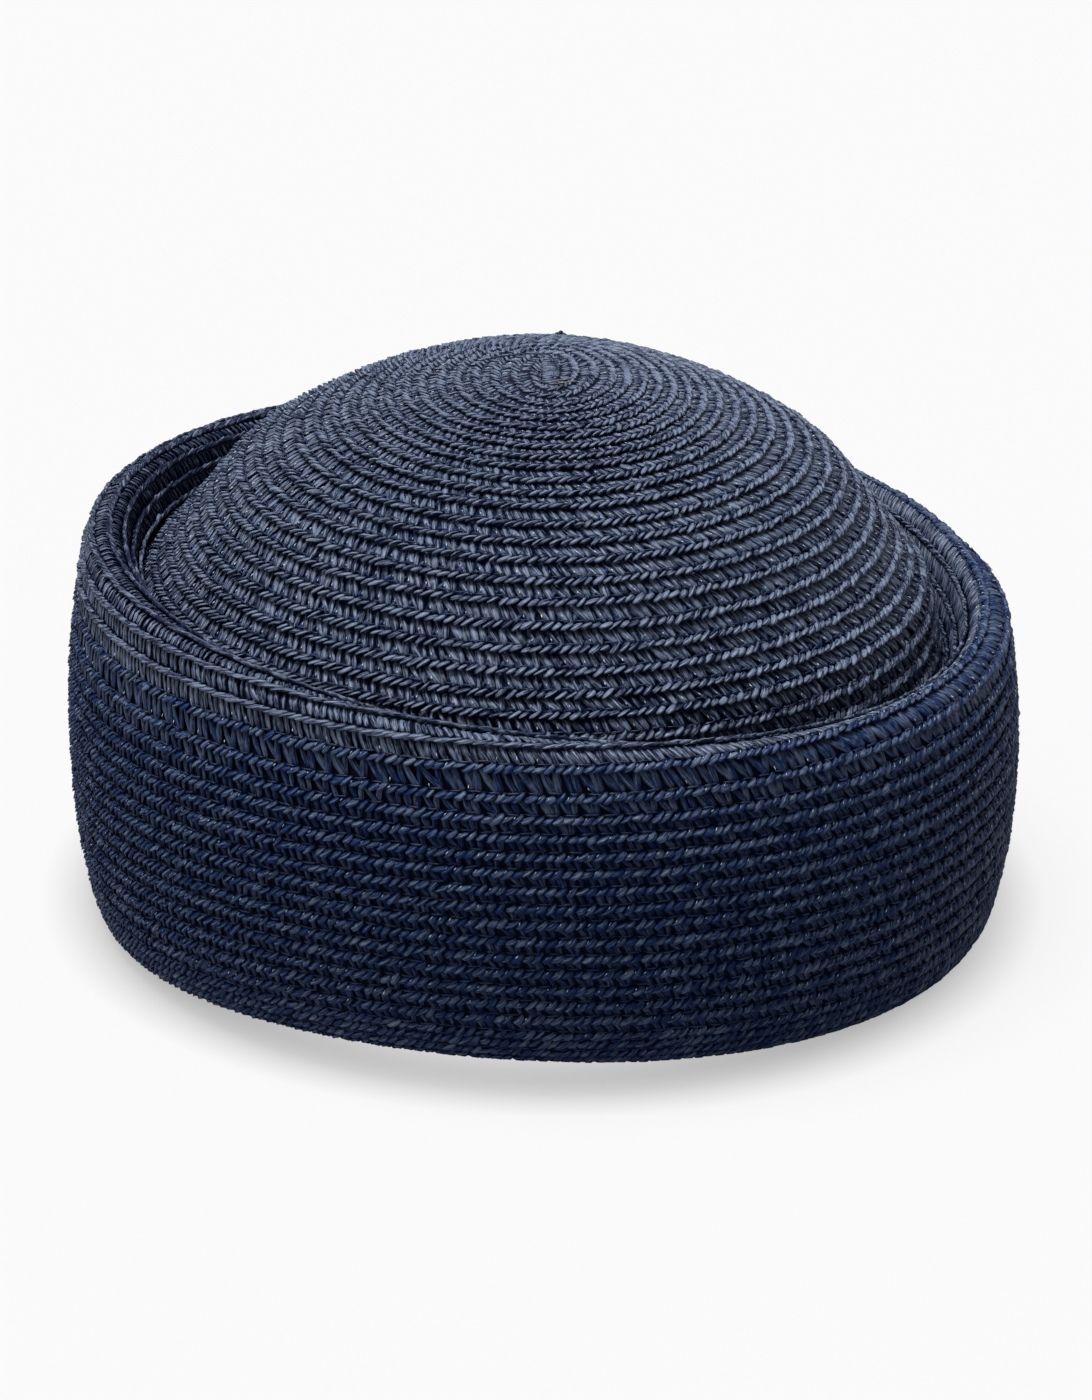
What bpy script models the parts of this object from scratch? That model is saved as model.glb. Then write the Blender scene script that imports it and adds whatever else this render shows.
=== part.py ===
"""Pillbox hat of navy paper straw: one braid sewn row on row into a domed crown and a turned-up cuff.

Metres, +Z up, the front towards -Y. The origin is on the floor under the middle of the hat.
The braid starts on a short seam that runs front to back, so every row is a ring whose half depth
is its half width plus the half length of that seam.
"""

import math

import bmesh
import bpy
import numpy as np

# Braid
BRAID_WALL = 0.002          # thickness of the sewn braid
ROW_RELIEF = 0.0006         # how far a row's twisted edge stands over the next row
STEP_SHARE = 0.12           # share of a row's pitch that its step down to the next row takes
CROWN_ROW_PITCH = 0.00485   # rows on the crown, from edge to edge
CUFF_ROW_PITCH = 0.0042     # rows on the outside of the cuff
RIM_ROW_PITCH = 0.0048      # rows over the rim and down its inner side
FIT_GAP = 0.0003            # clearance between the crown's foot and the cuff's inner edge

# Plan
SEAM_HALF_LENGTH = 0.008    # half the seam that the spiral starts on, front to back
HEAD_HALF_WIDTH = 0.085     # inside of the head opening, side to side
FACETS = 44                 # sides of every ring

# Crown
CROWN_HEIGHT = 0.124        # floor to the top of the crown
DOME_RADIUS = 0.1175        # curve of the top
DOME_EDGE = math.radians(33)    # how steep the top is where it passes into the shoulder
SHOULDER_RADIUS = 0.0315    # curve from the top into the sloping side
SIDE_SLOPE = math.radians(52)   # how steep the side is, down to the groove
BASE_RADIUS = 0.006         # turn from the sloping side into the hidden wall
CROWN_SWELL = 0.003         # how far the top of that wall stands out past the head opening
CROWN_FOOT = 0.009          # height of the wall's lower edge
BUTTON_HALF_WIDTH = 0.0025  # first turn of the spiral, flat in the middle
CROWN_LEAN = 0.0025         # how far the crown sits to the left, all of it above the wall

# Cuff
CUFF_LAP = 0.006            # straight stretch of the cuff's inner edge, inside the crown's foot
INNER_TURN_RADIUS = 0.007   # turn from the head opening to the sole
GROOVE_WIDTH = 0.0068       # open groove between the crown's wall and the rim
OUTER_TURN_RADIUS = 0.0075  # turn from the sole up to the cuff's wall
RIM_HEIGHT = 0.081          # floor to the top of the rim, halfway between the front and the back
RIM_TILT = 0.0085           # how much higher the rim is at the left, and lower at the right
RIM_DIP = 0.0015            # how much lower the rim is at the front, and higher at the back
RIM_RADIUS = 0.0048         # roll of the folded rim
CUFF_FLARE = math.radians(10)   # the wall's lean outwards where it leaves the sole
CUFF_LEAN = math.radians(11)    # the wall's lean inwards under the rim
HEM_LENGTH = 0.010          # what is folded down on the inner side of the rim
HEM_LEAN = math.radians(25)     # how far the hem leans towards the crown, out of the upright
HEM_LEVELLING = 0.2         # share of the rim's tilt that the hem's length makes up for

# Set of the lower edge, which bows up off the floor at the front and the back
EDGE_BOW = 0.006            # lift of the lower edge at the middle of the front and the back
EDGE_SKEW = 0.5             # how much more it lifts towards the front's left than its right
RESTING_SHARE = 0.4         # share of the half depth, out from the middle, that stays on the floor

STRAW_COLOUR = (0.040, 0.050, 0.080, 1.0)
CUFF_COLOUR = (0.020, 0.028, 0.055, 1.0)
STRAW_ROUGHNESS = 0.62


def straw(name, colour):
    """Material of the dyed paper straw."""
    material = bpy.data.materials.new(name)
    material.use_nodes = True
    shader = material.node_tree.nodes["Principled BSDF"]
    shader.inputs["Base Color"].default_value = colour
    shader.inputs["Roughness"].default_value = STRAW_ROUGHNESS
    shader.inputs["Metallic"].default_value = 0.0
    material.diffuse_color = colour
    return material


def walk(start, heading, moves, at):
    """Points and headings at given arc lengths of a path, whose named moves are each (length, left turn)."""
    at = np.asarray(at, float)
    points = np.zeros((at.size, 2))
    headings = np.zeros(at.size)
    here = np.array(start, float)
    done = 0.0
    for length, turn in moves.values():
        mine = at >= done - 1e-9
        along = at[mine] - done
        bend = turn / length
        angle = heading + bend * along
        if abs(turn) < 1e-9:
            step = along[:, None] * np.array([math.cos(heading), math.sin(heading)])
            end = length * np.array([math.cos(heading), math.sin(heading)])
        else:
            step = np.stack([np.sin(angle) - math.sin(heading), math.cos(heading) - np.cos(angle)], 1) / bend
            out = heading + turn
            end = np.array([math.sin(out) - math.sin(heading), math.cos(heading) - math.cos(out)]) / bend
        points[mine] = here + step
        headings[mine] = angle
        here = here + end
        heading += turn
        done += length
    return points, headings


def starts_of(moves):
    """Arc length at which each named move of a path starts, with the path's end as `end`."""
    lengths = [length for length, _ in moves.values()]
    return dict(zip([*moves, "end"], np.cumsum([0.0, *lengths])))


def rib_stations(start, end, rows, proud_first):
    """Arc lengths and reliefs of saw-tooth rows between start and end: a ramp, then a short step."""
    pitch = (end - start) / rows
    step = STEP_SHARE * pitch
    edges = start + pitch * np.arange(rows)
    low, high = (edges, edges + step) if proud_first else (edges + pitch, edges + pitch - step)
    first, second = (low, high) if proud_first else (high, low)
    at = np.stack([first, second], 1).ravel()
    relief = np.tile([0.0, 1.0] if proud_first else [1.0, 0.0], rows)
    return at, relief * ROW_RELIEF


def azimuths():
    """Angles of the ring's corners, from the right (+X) through the back (+Y)."""
    return np.arange(FACETS) * 2 * math.pi / FACETS


def edge_lift(angle):
    """Lift of the lower edge at an azimuth: none along the resting sides, then a smooth bow."""
    out = (abs(math.sin(angle)) - RESTING_SHARE) / (1 - RESTING_SHARE)
    skew = -EDGE_SKEW * math.cos(angle) if math.sin(angle) < 0 else 0.0
    return EDGE_BOW * (1 + skew) * max(0.0, out) ** 1.5


def rim_height(angle):
    """Height of the top of the rim at an azimuth."""
    return RIM_HEIGHT - RIM_TILT * math.cos(angle) + RIM_DIP * math.sin(angle)


def around(section, angle):
    """Place a section's half widths and heights at an azimuth. The edge's lift fades out up to the rim."""
    rho, height = section[:, 0], section[:, 1]
    lifted = height + edge_lift(angle) * np.clip(1 - height / rim_height(angle), 0.0, 1.0)
    return np.stack([rho * math.cos(angle), (rho + SEAM_HALF_LENGTH) * math.sin(angle), lifted], 1)


def loft(name, sections, colour, capped):
    """One closed solid from equal sections set round the hat.

    sections[i] holds the points of the section at azimuth i. A capped loft has its first and last
    points closed by flat polygons, and any other joins its last point to its first.
    """
    rings = np.array(sections)
    count, points = rings.shape[:2]
    mesh = bpy.data.meshes.new(name)
    builder = bmesh.new()
    grid = [[builder.verts.new(rings[i, j]) for j in range(points)] for i in range(count)]
    for i in range(count):
        here, there = grid[i], grid[(i + 1) % count]
        for j in range(points - 1 if capped else points):
            k = (j + 1) % points
            builder.faces.new((here[j], here[k], there[k], there[j]))
    if capped:
        builder.faces.new([grid[i][0] for i in range(count)])
        builder.faces.new([grid[i][-1] for i in reversed(range(count))])
    bmesh.ops.recalc_face_normals(builder, faces=builder.faces)
    builder.to_mesh(mesh)
    builder.free()
    mesh.materials.append(straw(name, colour))
    part = bpy.data.objects.new(name, mesh)
    hat.objects.link(part)
    mesh.shade_smooth()
    mesh.set_sharp_from_angle(angle=math.radians(35))
    return part


def crown_half_width():
    """Outside of the crown's wall at its top, level with the rim."""
    return HEAD_HALF_WIDTH + CROWN_SWELL


def wall_top():
    """Height at which the crown's wall starts, and the length of the sloping side above it."""
    shoulder_x = DOME_RADIUS * math.sin(DOME_EDGE)
    shoulder_x += SHOULDER_RADIUS * (math.sin(SIDE_SLOPE) - math.sin(DOME_EDGE))
    base_x = BASE_RADIUS * (1 - math.sin(SIDE_SLOPE))
    side = (crown_half_width() - shoulder_x - base_x) / math.cos(SIDE_SLOPE)
    drop = DOME_RADIUS * (1 - math.cos(DOME_EDGE))
    drop += SHOULDER_RADIUS * (math.cos(DOME_EDGE) - math.cos(SIDE_SLOPE))
    drop += side * math.sin(SIDE_SLOPE) + BASE_RADIUS * math.cos(SIDE_SLOPE)
    return CROWN_HEIGHT - drop, side


def crown_moves():
    """Crown section from the middle of the top: dome, shoulder, sloping side, base turn, wall."""
    top, side = wall_top()
    foot_half_width = HEAD_HALF_WIDTH + 2 * BRAID_WALL + FIT_GAP
    spread = math.atan2(foot_half_width - crown_half_width(), top - CROWN_FOOT)
    shoulder = SIDE_SLOPE - DOME_EDGE
    base = math.pi / 2 - SIDE_SLOPE - spread
    return {
        "dome": (DOME_RADIUS * DOME_EDGE, -DOME_EDGE),
        "shoulder": (SHOULDER_RADIUS * shoulder, -shoulder),
        "side": (side, 0.0),
        "base": (BASE_RADIUS * base, -base),
        "wall": ((top - CROWN_FOOT) / math.cos(spread), 0.0),
    }


def crown_lean(height):
    """How far the crown sits to the left at a height: none on the cuff's lap, easing to all of it above."""
    lap_top = INNER_TURN_RADIUS + CUFF_LAP
    share = np.clip((height - lap_top) / (wall_top()[0] - lap_top), 0.0, 1.0)
    return CROWN_LEAN * share ** 2 * (3 - 2 * share)


def build_crown():
    """Domed crown with its rows outside, a plain inner face, and an open foot."""
    moves = crown_moves()
    starts = starts_of(moves)
    middle = (0.0, CROWN_HEIGHT)
    rows = max(1, round((starts["wall"] - BUTTON_HALF_WIDTH) / CROWN_ROW_PITCH))
    at, relief = rib_stations(BUTTON_HALF_WIDTH, starts["wall"], rows, proud_first=False)
    wall_at = np.linspace(starts["wall"], starts["end"], 5)[1:]
    outside_at = np.concatenate([[BUTTON_HALF_WIDTH], at, wall_at])
    relief = np.concatenate([[0.0], relief, np.zeros(wall_at.size)])
    outside, heading = walk(middle, 0.0, moves, outside_at)
    outside += relief[:, None] * np.stack([-np.sin(heading), np.cos(heading)], 1)

    inside_at = np.concatenate([
        np.linspace(BUTTON_HALF_WIDTH, starts["shoulder"], 6),
        np.linspace(starts["shoulder"], starts["side"], 3)[1:],
        [starts["base"]],
        np.linspace(starts["base"], starts["wall"], 3)[1:],
        wall_at,
    ])[::-1]
    inside, heading = walk(middle, 0.0, moves, inside_at)
    inside -= BRAID_WALL * np.stack([-np.sin(heading), np.cos(heading)], 1)
    inside[0, 1] = CROWN_FOOT
    outside[-1, 1] = CROWN_FOOT

    section = np.concatenate([outside, inside])
    lean = crown_lean(section[:, 1])
    sections = []
    for angle in azimuths():
        ring = around(section, angle)
        ring[:, 0] -= lean
        sections.append(ring)
    return loft("crown", sections, STRAW_COLOUR, capped=True)


def wall_radius(top):
    """Radius of the cuff wall's barrel, from the end of the outer turn up to a rim top."""
    rise = top - OUTER_TURN_RADIUS * (1 - math.sin(CUFF_FLARE)) - RIM_RADIUS * (1 - math.sin(CUFF_LEAN))
    return rise / (math.sin(CUFF_FLARE) + math.sin(CUFF_LEAN))


def sole_width():
    """Ring between the two turns, as wide as sets the rim clear of the crown by the groove."""
    rim_half_width = crown_half_width() + GROOVE_WIDTH
    wall_shift = wall_radius(RIM_HEIGHT) * (math.cos(CUFF_LEAN) - math.cos(CUFF_FLARE))
    roll = RIM_RADIUS * (1 + math.cos(CUFF_LEAN))
    sole_start = HEAD_HALF_WIDTH + INNER_TURN_RADIUS
    return rim_half_width + roll - wall_shift - OUTER_TURN_RADIUS * math.cos(CUFF_FLARE) - sole_start


def cuff_moves(top):
    """Cuff section up to a rim top: lap, inner turn, sole, outer turn, barrelled wall, rolled rim, hem."""
    barrel = CUFF_FLARE + CUFF_LEAN
    roll = math.pi - CUFF_LEAN - HEM_LEAN
    return {
        "lap": (CUFF_LAP, 0.0),
        "inner_turn": (INNER_TURN_RADIUS * math.pi / 2, math.pi / 2),
        "sole": (sole_width(), 0.0),
        "outer_turn": (OUTER_TURN_RADIUS * (math.pi / 2 - CUFF_FLARE), math.pi / 2 - CUFF_FLARE),
        "wall": (wall_radius(top) * barrel, barrel),
        "rim": (RIM_RADIUS * roll, roll),
        "hem": (HEM_LENGTH - HEM_LEVELLING * (top - RIM_HEIGHT), 0.0),
    }


def cuff_face(starts, wall_rows, rim_rows, hem_rows):
    """Arc lengths and reliefs of the cuff's outer face: plain underneath, then rows up to the hem's edge."""
    plain = [
        [starts["lap"], starts["inner_turn"]],
        np.linspace(starts["inner_turn"], starts["sole"], 4)[1:],
        [starts["outer_turn"]],
        np.linspace(starts["outer_turn"], starts["wall"], 4)[1:-1],
    ]
    plain_at = np.concatenate(plain)
    wall_at, wall_relief = rib_stations(starts["wall"], starts["rim"], wall_rows, proud_first=True)
    rim_at, rim_relief = rib_stations(starts["rim"], starts["hem"], rim_rows, proud_first=True)
    hem_at, hem_relief = rib_stations(starts["hem"], starts["end"], hem_rows, proud_first=True)
    at = np.concatenate([plain_at, wall_at, rim_at, hem_at, [starts["end"]]])
    relief = np.concatenate([np.zeros(plain_at.size), wall_relief, rim_relief, hem_relief, [0.0]])
    return at, relief


def cuff_back(starts):
    """Arc lengths of the cuff's plain hidden face, from the hem's edge back to the lap."""
    steps = {"lap": 1, "inner_turn": 2, "sole": 1, "outer_turn": 2, "wall": 3, "rim": 4, "hem": 1}
    ends = list(starts.values())[1:]
    pieces = [np.linspace(starts[name], end, steps[name] + 1)[1:] for name, end in zip(steps, ends)]
    return np.concatenate([[starts["lap"]], *pieces])[::-1]


def build_cuff():
    """Brim turned under and up into a cuff, its rim rolled over and hemmed towards the crown."""
    mean = cuff_moves(RIM_HEIGHT)
    wall_rows = max(1, round(mean["wall"][0] / CUFF_ROW_PITCH))
    rim_rows = max(1, round(mean["rim"][0] / RIM_ROW_PITCH))
    hem_rows = max(1, round(mean["hem"][0] / RIM_ROW_PITCH))
    inner_edge = (HEAD_HALF_WIDTH, INNER_TURN_RADIUS + CUFF_LAP)
    sections = []
    for angle in azimuths():
        moves = cuff_moves(rim_height(angle))
        starts = starts_of(moves)
        at, relief = cuff_face(starts, wall_rows, rim_rows, hem_rows)
        face, heading = walk(inner_edge, -math.pi / 2, moves, at)
        face += relief[:, None] * np.stack([np.sin(heading), -np.cos(heading)], 1)
        back, heading = walk(inner_edge, -math.pi / 2, moves, cuff_back(starts))
        back -= BRAID_WALL * np.stack([np.sin(heading), -np.cos(heading)], 1)
        sections.append(around(np.concatenate([face, back]), angle))
    return loft("cuff", sections, CUFF_COLOUR, capped=False)


for old in list(bpy.data.objects):
    bpy.data.objects.remove(old, do_unlink=True)

hat = bpy.data.collections.new("pillbox_hat")
bpy.context.scene.collection.children.link(hat)

build_crown()
build_cuff()
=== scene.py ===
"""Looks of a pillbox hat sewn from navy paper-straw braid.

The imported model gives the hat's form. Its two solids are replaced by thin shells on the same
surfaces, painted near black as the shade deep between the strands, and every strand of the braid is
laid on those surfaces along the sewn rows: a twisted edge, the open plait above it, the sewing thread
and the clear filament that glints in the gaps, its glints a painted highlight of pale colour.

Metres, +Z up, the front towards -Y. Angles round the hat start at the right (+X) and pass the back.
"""

import math
from collections import namedtuple

import bpy
import numpy as np
from mathutils import Matrix, Vector


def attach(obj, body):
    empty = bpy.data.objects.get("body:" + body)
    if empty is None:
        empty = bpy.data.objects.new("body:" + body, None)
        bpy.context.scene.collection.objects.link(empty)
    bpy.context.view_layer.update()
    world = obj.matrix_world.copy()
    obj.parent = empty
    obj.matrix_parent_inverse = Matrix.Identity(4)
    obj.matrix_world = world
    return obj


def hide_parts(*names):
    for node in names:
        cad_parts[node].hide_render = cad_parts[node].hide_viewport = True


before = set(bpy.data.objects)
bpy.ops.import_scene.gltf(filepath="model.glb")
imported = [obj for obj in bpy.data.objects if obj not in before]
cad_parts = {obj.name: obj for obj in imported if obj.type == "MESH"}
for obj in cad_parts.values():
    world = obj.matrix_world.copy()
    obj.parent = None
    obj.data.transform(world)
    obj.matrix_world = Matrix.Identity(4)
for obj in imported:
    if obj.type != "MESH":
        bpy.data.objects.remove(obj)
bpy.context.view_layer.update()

MM = 0.001
TURN = 2 * math.pi
FRONT = -math.pi / 2

# Form of the sewn braid, as in the solids
BRAID_WALL = 2.0 * MM
SEAM_HALF_LENGTH = 8.0 * MM
HEAD_HALF_WIDTH = 85.0 * MM
CROWN_HEIGHT = 124.0 * MM
DOME_RADIUS = 117.5 * MM
DOME_EDGE = math.radians(33)
SHOULDER_RADIUS = 31.5 * MM
SIDE_SLOPE = math.radians(52)
BASE_RADIUS = 6.0 * MM
CROWN_SWELL = 3.0 * MM
CROWN_FOOT = 9.0 * MM
FOOT_GAP = 0.3 * MM
CROWN_LEAN = 2.5 * MM
CUFF_LAP = 6.0 * MM
INNER_TURN_RADIUS = 7.0 * MM
GROOVE_WIDTH = 6.8 * MM
OUTER_TURN_RADIUS = 7.5 * MM
RIM_HEIGHT = 81.0 * MM
RIM_TILT = 8.5 * MM
RIM_DIP = 1.5 * MM
RIM_RADIUS = 4.8 * MM
CUFF_FLARE = math.radians(10)
CUFF_LEAN = math.radians(11)
HEM_LENGTH = 10.0 * MM
HEM_LEAN = math.radians(25)
HEM_LEVELLING = 0.2
EDGE_BOW = 6.0 * MM
EDGE_BOW_POWER = 1.5
EDGE_SKEW = 0.5
RESTING_SHARE = 0.4

# Where the rows run
TIP_SHIFT = 2.6 * MM           # how far right of the crown's middle the spiral starts
TIP_REACH = 34.0 * MM          # half width at which that shift has faded to about a third
BASE_FLARE_START = 95.0 * MM   # arc length at which the crown's lowest rows start to spread
BASE_FLARE_DELAY = 4.0 * MM    # how much later at the right, where the hem ends lower
BASE_FLARE_LENGTH = 22.0 * MM  # arc length over which they spread
BASE_FLARE = 2.6 * MM          # how far they spread into the groove at the front and the back
BASE_FLARE_GAIN = 0.7 * MM     # how much more at the right, where the groove is wider
ROW_WANDER = 0.12 * MM         # how far a row strays from its line
WANDER_WAVES = (               # (waves a turn, share, phase)
    (1.37, 1.0, 0.0),
    (3.1, 0.7, 1.0),
)
WANDER_EASE = 3.0              # turns over which it grows from the middle of the crown's top
HEM_EDGE_INSET = 0.8 * MM      # from the hem's end to the line of its edge rope
HEM_MARGIN = 0.7 * MM          # how near the hem's end other strands are centred
STATIONS_A_TURN = 400          # points a turn at which a row's length is measured

# Strands along the rows
STRAND_PITCH = 2.05 * MM        # from strand to strand along a row
PAIR_PITCH = 2 * STRAND_PITCH   # from pair to pair in the plait
PAIR_SPACING = 1.86 * MM        # between the two strands of a pair
PAIR = (-PAIR_SPACING / 2, PAIR_SPACING / 2)
RIM_STRAND_PITCH = 1.62 * MM    # from strand to strand of the rim's closer plait
UNDER_STRAND_PITCH = 2.4 * MM   # and of what faces the floor
INSIDE_STRAND_PITCH = 2.9 * MM  # and inside the crown
STITCH_PITCH = 4.1 * MM
INSIDE_SINK = 0.6 * MM          # how far the inside strands are sunk into the wall

# Relief of the braid
TOP_RELIEF = 0.35       # share of it left in the middle of the crown's top
TOP_REACH = 50.0 * MM   # arc length from which the crown has all of it
UNDER_RELIEF = 0.38     # share of it left on what faces the floor
UNDER_FADE = 12.0 * MM  # how far up the wall it grows to all of it
RELIEF_POWER = 1.5      # power of the arc length with which it grows on the crown
UNDER_SINK = 0.25 * MM  # how far strands that face the floor are sunk
FLAT_SINK = 0.4 * MM    # how far strands without relief would be sunk

# Dark shells under the strands, their near black a painted shade between the strands
SHELL_DEPTH = 1.05 * MM       # how far they lie under the braid's surface
SHELL_WALL = 0.4 * MM
SHELL_SEGMENTS = 132
CROWN_SHELL_RINGS = (38, 16)  # rings on its outer and on its inner side
CUFF_SHELL_RINGS = (64, 32)
SHELL_TOP_GAP = 1.2 * MM      # arc length of the crown shell's first ring, which a flat cap closes

# Pitches of the crown's rows at the front, from the middle of its top: (rows, pitch)
CROWN_STRETCHES = (
    (3, 4.46 * MM),
    (7, 3.74 * MM),
    (3, 4.27 * MM),
    (8, 5.02 * MM),
    (15, 4.75 * MM),
)

# Pitches of the cuff's rows at the front, from its inner edge out, up and over the rim: (rows, pitch)
CUFF_STRETCHES = (
    (7, 3.9 * MM),
    (3, 2.6 * MM),
    (12, 4.075 * MM),
    (1, 4.4 * MM),
    (1, 5.0 * MM),
    (1, 6.5 * MM),
    (1, 5.6 * MM),
    (1, 5.2 * MM),
    (1, 4.6 * MM),
    (8, 4.2 * MM),
)
ROWS_UNDER_WALL = 10       # rows of the first two stretches
FIRST_WALL_ROW = 3.8 * MM  # arc length up the wall of the first row of the third stretch

# Turns of the crown's spiral between which its strands lie
EDGE_START = 0.05
PLAIT_START = 0.2
STITCH_START = 1.2
CROWN_ROWS = 27.6          # last turn outside, as far down as the groove can be seen
INSIDE_ROWS = (0.6, 33.5)  # first and last turn inside

# Turns of the cuff's spiral at which kinds of strand start
SOLE_START = 1.0                        # plain ones underneath
WALL_START = ROWS_UNDER_WALL - 3.0      # full ones
TOP_START = ROWS_UNDER_WALL + 12.5      # flatter ones in the taller rows near the rim
RIM_START = ROWS_UNDER_WALL + 15.55     # finer ones over the rim
RIM_PLAIT_START = RIM_START - 1.0       # and in the row before their first twisted edge
CUFF_LAST_ROW = ROWS_UNDER_WALL + 22.6  # last turn, down inside the hem

# Dyed straw, on a pattern in millimetres along and across a strand
GROOVE_STRETCH = (0.28, 2.9, 1.0)  # long grooves, several across a strand
GROOVE_DETAIL = 2.0
GROOVE_ROUGHENING = -0.2           # change of roughness from a groove's bottom to a ridge's top
BLOTCH_SCALE = 0.8
BLOTCH_GAIN = 0.6
NOISE_MEAN = 0.5
BUMP_STRENGTH = 0.6
BUMP_HEIGHT = 0.15 * MM
MOTTLE_SCALE = 900.0               # of the dark shells, a little over a millimetre

# Looks of dyed straw: (name, dark, light, depth of its grooves, roughness, gloss)
DYED_STRAWS = (
    ("crown_straw", (0.000, 0.006, 0.034), (0.168, 0.212, 0.312), 3.8, 0.52, 0.30),
    ("cuff_straw", (0.000, 0.015, 0.078), (0.148, 0.196, 0.285), 2.0, 0.55, 0.20),
    ("navy_thread", (0.004, 0.012, 0.055), (0.030, 0.052, 0.145), 0.5, 0.55, 0.40),
    ("pale_straw", (0.040, 0.045, 0.060), (0.175, 0.165, 0.160), 3.0, 0.50, 0.50),
)

# Changes of tone along the spirals: (first turn, turns that it takes, change)
# Painted light on the crown's top, fading over its first turns, and painted shade down its side and in the
# groove
TOP_PAINTED_LIGHT = 0.10  # how much lighter the middle of the crown's top is
TOP_PAINTED_LIGHT_FADE = (0.0, 14.0, -0.10)
SIDE_PAINTED_SHADE = (13.0, 5.0, -0.10)
GROOVE_PAINTED_SHADE = (21.5, 3.5, -0.32)
UP_TO_RIM = (ROWS_UNDER_WALL + 11.0, 4.0, 0.11)
UP_TO_RIM_POWER = 1.5
# Painted shade on the hem's rows down inside the rim
HEM_PAINTED_SHADE = (ROWS_UNDER_WALL + 16.3, 3.0, -0.46)
DARK_KIND = 0.4  # tone under which a kind of strand grows lighter up to the rim

# Glints of filament, painted pale as highlights, of which most gaps have none
CROWN_GLINTS = 1500
CROWN_GLINT_ROWS = (2.0, 26.0)
CUFF_GLINTS = 1900
RIM_GLINTS = 120
RIM_GLINT_START = ROWS_UNDER_WALL + 13.5

# Middle of the crown's top
TIP_DEPTH = 0.1 * MM      # how far the middles of its strands lie under the top
RUNGS = 12                # strands across the seam that the spiral starts on
RUNG_SPAN = 8.4           # from the middle to the first and the last, in millimetres
RUNG_SIZE = (4.6 * MM, 1.45 * MM, 0.9 * MM)
RUNG_SLANT = (0.1, 0.12)  # mean and spread of how much they run back as they run right
RUNG_TONE = (0.45, 0.15)  # mean and spread
KNOT_TONE = -0.5
UNDYED_SIZE = (2.7 * MM, 0.9 * MM, 0.5 * MM)
UNDYED_SLANT = (0.2, 0.35)
THREAD_PROUD = 1.3 * MM   # how far the loose end of thread lies over the dome
THREAD_STEPS = 25
THREAD_THICK = 0.45 * MM
THREAD_OVERLAP = 1.5      # length of a step's strand, in steps
THREAD_TONE = 0.1

# Camera
CAMERA_DISTANCE = 1.0
CAMERA_ELEVATION = math.radians(21.13)
CAMERA_TARGET_HEIGHT = 60.0 * MM
CAMERA_AIM_BELOW = math.radians(0.81)
CAMERA_ROLL = math.radians(0.72)
CAMERA_LENS = 112.64
CAMERA_SENSOR = 36.0

# Strengths of the surroundings
SKY_RISE = 0.46   # gain from the horizon to straight above
SKY_LEAST = 0.03  # at the horizon and under it
SIDE_GLOW = 0.15  # gain towards the left and the right
BACK_GLOW = 0.06  # gain towards the back, and as much loss towards the front
BACKDROP_GREY = 0.95

# Soft suns: (name, strength, width in degrees, tilt from overhead, turn round the hat)
SUNS = (
    ("key", 3.3, 30.0, 9.0, -80.0),
    ("fill", 0.6, 60.0, 62.0, -70.0),
)

# What the floor shows to the camera, and what it gives back
FLOOR_REACH = 12.0
FLOOR_SHADOW_REACH = 13.0 * MM  # how near the hat the floor darkens
FLOOR_SHADOW_DEPTH = 0.44       # how much stronger it glows in the open than at the hat's foot
FLOOR_LEAST = 0.39              # its glow at the hat's foot
FLOOR_GREY = 0.09               # lit grey on top of its glow, which takes the soft suns' shadows
FLOOR_BOUNCE = (0.30, 0.30, 0.31, 1.0)


def carried(start, heading, moves, at):
    """Half widths, heights and headings at arc lengths of a path of straights and arcs.

    A move is (length, left turn). An arc from heading a to heading b adds (sin b - sin a, cos a - cos b)
    over its bend, a straight adds its length along its heading, and the last move has no end.
    """
    across = np.full(np.shape(at), start[0])
    height = np.full(np.shape(at), start[1])
    heading = np.full(np.shape(at), heading)
    done = 0.0
    for number, (length, turn) in enumerate(moves, 1):
        here = np.maximum(at - done, 0.0)
        if number < len(moves):
            here = np.minimum(here, length)
        if turn == 0.0:
            across = across + here * np.cos(heading)
            height = height + here * np.sin(heading)
        else:
            bend = turn / length
            after = heading + bend * here
            across = across + (np.sin(after) - np.sin(heading)) / bend
            height = height + (np.cos(heading) - np.cos(after)) / bend
            heading = after
        done = done + length
    return across, height, heading


def rim_height(angle):
    """Height of the rim: its mean, less a tilt times the cosine, plus a dip times the sine."""
    return RIM_HEIGHT - RIM_TILT * np.cos(angle) + RIM_DIP * np.sin(angle)


def edge_lift(angle):
    """Lift of the lower edge: the share past the resting sides to a power, more at the front's left."""
    out = (np.abs(np.sin(angle)) - RESTING_SHARE) / (1 - RESTING_SHARE)
    skew = np.where(np.sin(angle) < 0, -EDGE_SKEW * np.cos(angle), 0.0)
    return EDGE_BOW * (1 + skew) * np.maximum(0.0, out) ** EDGE_BOW_POWER


def crown_side():
    """Length of the crown's sloping side, and the height at which its hidden wall starts."""
    shoulder_x = DOME_RADIUS * math.sin(DOME_EDGE)
    shoulder_x += SHOULDER_RADIUS * (math.sin(SIDE_SLOPE) - math.sin(DOME_EDGE))
    base_x = BASE_RADIUS * (1 - math.sin(SIDE_SLOPE))
    side = (HEAD_HALF_WIDTH + CROWN_SWELL - shoulder_x - base_x) / math.cos(SIDE_SLOPE)
    drop = DOME_RADIUS * (1 - math.cos(DOME_EDGE))
    drop += SHOULDER_RADIUS * (math.cos(DOME_EDGE) - math.cos(SIDE_SLOPE))
    drop += side * math.sin(SIDE_SLOPE) + BASE_RADIUS * math.cos(SIDE_SLOPE)
    return side, CROWN_HEIGHT - drop


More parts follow.
